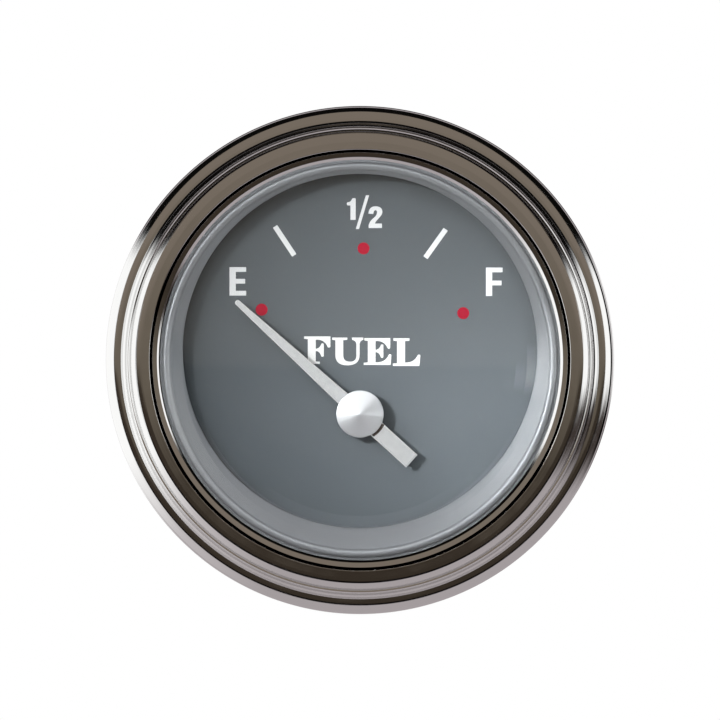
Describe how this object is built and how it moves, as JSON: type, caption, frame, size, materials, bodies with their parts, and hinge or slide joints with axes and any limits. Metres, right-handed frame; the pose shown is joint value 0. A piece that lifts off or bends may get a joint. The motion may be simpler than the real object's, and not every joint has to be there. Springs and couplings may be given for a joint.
{
  "type": "fuel gauge",
  "caption": "Round panel fuel gauge with a stepped chrome bezel, domed lens, grey dial, swinging pointer, steel case, U bracket, terminals and push-in lamp.",
  "frame": {"origin": "centre of the case where the bezel's rear face meets the panel", "axes": "+Y along the case towards its back, +Z at 12 o'clock of the dial, +X to the viewer's right; the dial faces -Y"},
  "size_m": [0.0604, 0.0503, 0.0604],
  "materials": {
    "chrome": "polished chrome plate",
    "lens_clear": "clear polished glass",
    "gasket_rubber": "matt moulded rubber",
    "ring_satin": "satin light grey paint",
    "dial_grey": "satin metallic grey paint",
    "pointer_white": "light grey paint",
    "spun_aluminium": "spun, fine circular lines",
    "brass_plain": "turned brass",
    "zinc_steel": "bright zinc plate",
    "spring_bronze": "rolled strip",
    "magnet_dark": "sintered, dark",
    "bobbin_nylon": "moulded natural nylon",
    "copper_wire": "enamelled copper winding",
    "board_green": "green board lacquer",
    "resistor_tan": "matt ceramic",
    "fibre_brown": "vulcanised fibre",
    "holder_black": "moulded black nylon"
  },
  "bodies": {
    "housing": {"bezel": "chrome", "lens_glass": "lens_clear", "lens_gasket": "gasket_rubber", "trim_ring": "ring_satin", "dial_plate": "dial_grey", "dial_feet": "brass_plain", "case_can": "zinc_steel", "hairspring": "spring_bronze", "hairspring_stud": "brass_plain", "stop_pins": "zinc_steel", "bobbin_front": "bobbin_nylon", "bobbin_back": "bobbin_nylon", "coil_inner": "copper_wire", "coil_outer": "copper_wire", "front_bearing": "brass_plain", "rear_bearing": "brass_plain", "shield_can": "zinc_steel", "movement_plate": "zinc_steel", "frame_spacers": "brass_plain", "frame_screws": "zinc_steel", "circuit_board": "board_green", "resistors": "resistor_tan", "terminal_stud_ignition": "brass_plain", "terminal_stud_sender": "brass_plain", "terminal_stud_ground": "brass_plain", "terminal_insulators_inner": "fibre_brown", "terminal_insulators_outer": "fibre_brown", "terminal_nuts": "brass_plain", "bracket_studs": "zinc_steel"},
    "pointer": {"pointer_blade": "pointer_white", "pointer_hub_cap": "spun_aluminium", "pointer_bush": "brass_plain", "spindle": "zinc_steel", "rotor_magnet": "magnet_dark", "hairspring_collet": "brass_plain", "stop_arm": "brass_plain"},
    "bracket": {"mounting_bracket": "zinc_steel", "bracket_lock_washers": "zinc_steel"},
    "nut_left": {"thumb_nut_left": "brass_plain"},
    "nut_right": {"thumb_nut_right": "brass_plain"},
    "lamp": {"lamp_holder": "holder_black", "lamp_contact_tab": "brass_plain", "bulb_cap": "brass_plain", "bulb_glass": "lens_clear"}
  },
  "joints": [
    {"name": "pointer_swing", "type": "hinge", "parent": "housing", "child": "pointer", "pos_m": [0, 0, -0.0064], "axis": [0, 1, 0], "range_deg": [0, 95.4], "stiffness_Nm_per_rad": 0.00001, "springref_deg": -20.05, "deforming": ["hairspring"]},
    {"name": "bracket_slide", "type": "slide", "parent": "housing", "child": "bracket", "axis": [0, 1, 0], "range_m": [-0.00397, 0.00397]},
    {"name": "nut_left_turn", "type": "hinge", "parent": "bracket", "child": "nut_left", "pos_m": [-0.0185, 0.0357, 0], "axis": [0, 1, 0], "range_deg": [-1800, 1800]},
    {"name": "nut_right_turn", "type": "hinge", "parent": "bracket", "child": "nut_right", "pos_m": [0.0185, 0.0357, 0], "axis": [0, 1, 0], "range_deg": [-1800, 1800]},
    {"name": "lamp_pull", "type": "slide", "parent": "housing", "child": "lamp", "axis": [0, 1, 0], "range_m": [0, 0.02]}
  ],
  "couplings": [
    {"joint": "nut_left_turn", "follows": "bracket_slide", "rad_per_m": 7915.8},
    {"joint": "nut_right_turn", "follows": "bracket_slide", "rad_per_m": 7915.8}
  ]
}
